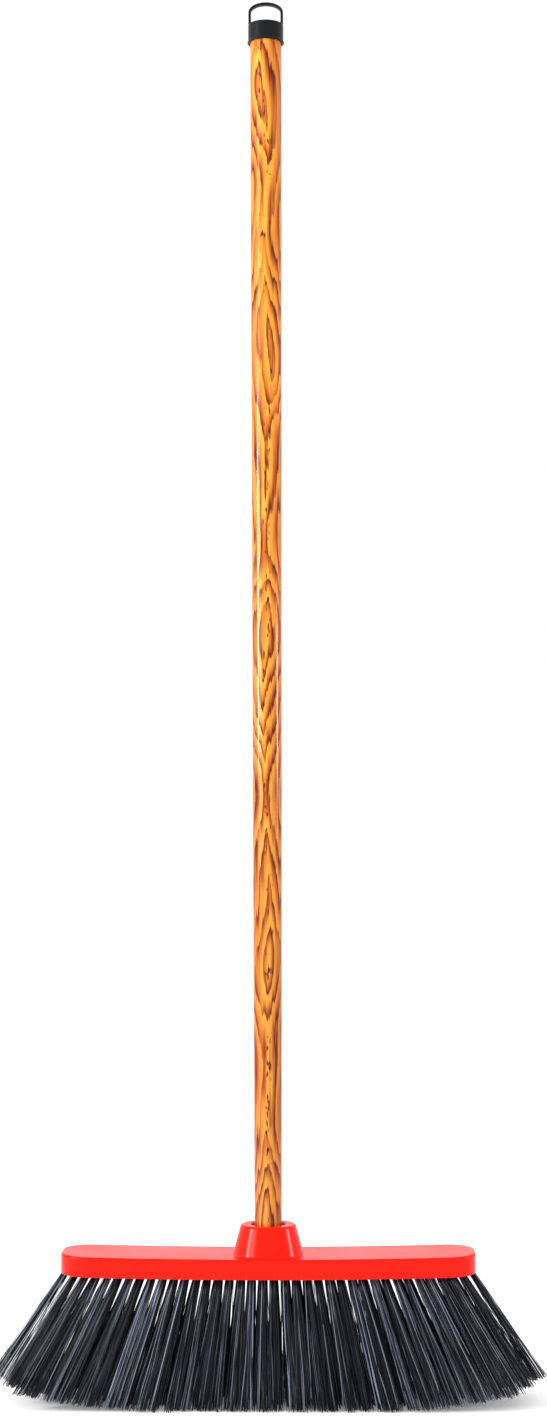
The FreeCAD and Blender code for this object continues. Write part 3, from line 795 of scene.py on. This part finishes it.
lip_round = LIP_HEIGHT / 4
cup_profile = np.concatenate(
    [
        straight_profile((POLE_SHARE * CUP_INNER_R, CEILING), (CUP_INNER_R, CEILING), 3),
        straight_profile((CUP_INNER_R, CEILING), (CUP_INNER_R, CUP_LOW + MOUTH_EDGE_R), 6)[1:],
        arc_profile((CUP_INNER_R + MOUTH_EDGE_R, CUP_LOW + MOUTH_EDGE_R), MOUTH_EDGE_R, 180, 270, 4),
        arc_profile((CUP_R + LIP - lip_round, CUP_LOW + lip_round), lip_round, 270, 360, 6),
        straight_profile((CUP_R + LIP, CUP_LOW + LIP_HEIGHT / 2), (CUP_R + LIP_STEP, LIP_END), 6),
        straight_profile((CUP_R, LIP_END + LIP_BLEND), (CUP_R, ROOF - ROOF_ROUND), 10),
        arc_profile((CUP_R - ROOF_ROUND, ROOF - ROOF_ROUND), ROOF_ROUND, 0, 90, 7)[1:],
        straight_profile((CUP_R - ROOF_ROUND, ROOF), (POLE_SHARE * CUP_R, ROOF), 5)[1:],
    ]
)
cup_rings = circle_rings(cup_profile[:, 0], cup_profile[:, 1], CUP_COLUMNS)
cup = ring_piece("cap_cup", cup_rings, sharp_degrees=50.0)
dress(cup, cap_black, "handle", "cap_plastic", "hanger_cap")

# %% Cap loop
LOOP_TOP = cap_high[2]
LOOP_DEPTH = 6.0 * MM
LOOP_BAND = 2.5 * MM
LOOP_LEG = 12.4 * MM
GUSSET_R = 3.0 * MM
BAND_EDGE_R = 0.8 * MM
SINK = 0.8 * MM
LEG_STEPS = 22
ARCH_STEPS = 61
loop_half = math.sqrt(CUP_R**2 - (LOOP_DEPTH / 2) ** 2)
spring = ROOF + LOOP_LEG
rise = LOOP_TOP - spring


def loop_line(inset):
    """An arch drawn in X and Z: up one leg, over half an ellipse and down the other leg, set in from the
    outside by inset."""
    leg = np.linspace(ROOF - SINK, spring, LEG_STEPS)
    angle = np.linspace(np.pi, 0, ARCH_STEPS)[1:-1]
    side = np.ones(LEG_STEPS)
    x = np.concatenate([-side, np.cos(angle), side]) * (loop_half - inset)
    z = np.concatenate([leg, spring + (rise - inset) * np.sin(angle), leg[::-1]])
    return np.stack([x, z], axis=-1)


def band_section(count=9):
    """A rounded rectangle round the band, as shares: depth from -1 to 1, and thickness from 0 outside to
    1 inside."""
    depth_r, thick_r = BAND_EDGE_R / (LOOP_DEPTH / 2), BAND_EDGE_R / LOOP_BAND
    angle = np.radians(np.linspace(0, 90, count))
    corner = np.stack([1 - depth_r + depth_r * np.sin(angle), thick_r - thick_r * np.cos(angle)], axis=-1)
    flipped = np.stack([corner[::-1, 0], 1 - corner[::-1, 1]], axis=-1)
    half = np.concatenate([corner, flipped])
    return np.concatenate([half, half[::-1] * (-1, 1)])


def loop_rings():
    """Each point of the section is a blend of the arch's outer and inner lines at one place along the
    band."""
    outer, inner = loop_line(0), loop_line(LOOP_BAND)
    near = np.clip(GUSSET_R - (inner[:, 1] - ROOF), 0, GUSSET_R)
    fill = GUSSET_R - np.sqrt(GUSSET_R**2 - near**2)
    inner[:, 0] -= np.sign(inner[:, 0]) * np.where(inner[:, 1] < spring, fill, 0)
    depth, thick = band_section().T
    flat = (1 - thick)[None, :, None] * outer[:, None] + thick[None, :, None] * inner[:, None]
    y = np.broadcast_to(depth * LOOP_DEPTH / 2, flat.shape[:2])
    return np.stack([flat[..., 0], y, flat[..., 1]], axis=-1)


loop = ring_piece("cap_loop", loop_rings(), sharp_degrees=60.0)
dress(loop, cap_black, "handle", "cap_plastic")

# %% [markdown]
# ## The ferrule
# The threaded end is nailed to the stick inside the socket, so it shows only when the handle is unscrewed.
# Its shank uses the thread's formula as it stands, and a collar on top carries the stick.

# %% Ferrule
ferrule_low, ferrule_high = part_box("threaded_ferrule")
FLANGE_R = ferrule_high[0]
FLANGE_EDGE = 0.4 * MM
RECESS_R = 3.8 * MM
RECESS = 1.85 * MM
NAIL_HOLE_R = 1.55 * MM
TENON_HOLE_R = 6.85 * MM
TENON_DEPTH = 25.0 * MM
TENON_HOLE_Z = ferrule_high[2] - TENON_DEPTH
RELIEF = 4.0 * MM
FERRULE_COLUMNS = 120
SHANK_RINGS = 110


def ferrule_rings():
    """From the tenon's hole out over the collar, down the threaded shank, and up through the nail's hole."""
    top = np.concatenate(
        [
            straight_profile((TENON_HOLE_R, ferrule_high[2]), (FLANGE_R - FLANGE_EDGE, ferrule_high[2]), 3),
            arc_profile((FLANGE_R - FLANGE_EDGE, ferrule_high[2] - FLANGE_EDGE), FLANGE_EDGE, 90, 0, 4)[1:],
            arc_profile((FLANGE_R - FLANGE_EDGE, LEDGE_Z + FLANGE_EDGE), FLANGE_EDGE, 0, -90, 4),
            [(THREAD_ROOT_R, LEDGE_Z)],
        ]
    )
    turn = np.linspace(0, 2 * np.pi, FERRULE_COLUMNS, endpoint=False)
    down = np.linspace(LEDGE_Z, ferrule_low[2], SHANK_RINGS)[1:]
    shank = THREAD_ROOT_R + ridge(turn[None, :], down[:, None], 0.0, ferrule_low[2], LEDGE_Z - RELIEF)
    recess_top = ferrule_low[2] + RECESS
    inside = np.array(
        [
            (RECESS_R, ferrule_low[2]),
            (RECESS_R, recess_top),
            (NAIL_HOLE_R, recess_top),
            (NAIL_HOLE_R, TENON_HOLE_Z),
            (TENON_HOLE_R, TENON_HOLE_Z),
        ]
    )
    return np.concatenate(
        [
            circle_rings(top[:, 0], top[:, 1], FERRULE_COLUMNS),
            circle_rings(shank, down, FERRULE_COLUMNS),
            circle_rings(inside[:, 0], inside[:, 1], FERRULE_COLUMNS),
        ]
    )


ferrule = ring_piece("ferrule", ferrule_rings(), looped=True)
dress(ferrule, ferrule_black, "handle", "ferrule_plastic", "threaded_ferrule")

# %% [markdown]
# ## Hidden wood and metal
# The stick, its nail and the anchors stay as CAD made them. They hardly show, but they get real finishes:
# pale pine with rings, and drawn steel with fine lines.

# %% Hidden pieces
PINE_DARK = (0.42, 0.24, 0.10)
PINE_PALE = (0.66, 0.46, 0.25)
STEEL = (0.56, 0.57, 0.58, 1)

stick_wood, tree, shader = new_material("pale_stick_wood")
rings = stretched_noise(tree, (1, 1, 0.04), 260.0, detail=4.0)
pores = stretched_noise(tree, (1, 1, 0.03), 1500.0, detail=2.0)
pine = colour_ramp(tree, rings, [(0.3, PINE_DARK), (0.7, PINE_PALE)])
feed(tree, shader, Base_Color=pine, Roughness=0.7)
bump(tree, shader, pores, 0.1 * MM, 0.5)

drawn_steel, tree, shader = new_material("drawn_steel")
lines = stretched_noise(tree, (0.1, 1, 1), 3000.0, detail=2.0)
shine = spread(tree, lines, 0.0, 1.0, 0.25, 0.45)
feed(tree, shader, Base_Color=STEEL, Metallic=1.0, Roughness=shine)
bump(tree, shader, lines, 0.02 * MM, 0.4)


def refinish(node, material):
    """Gives a CAD node one material and leaves its mesh alone."""
    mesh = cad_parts[node].data
    mesh.materials.clear()
    mesh.materials.append(material)


refinish("handle_core", stick_wood)
steel_nodes = ["ferrule_nail"] + ["anchors_" + row for row in ROWS]
for node in steel_nodes:
    refinish(node, drawn_steel)
print("refinished", 1 + len(steel_nodes), "CAD nodes")
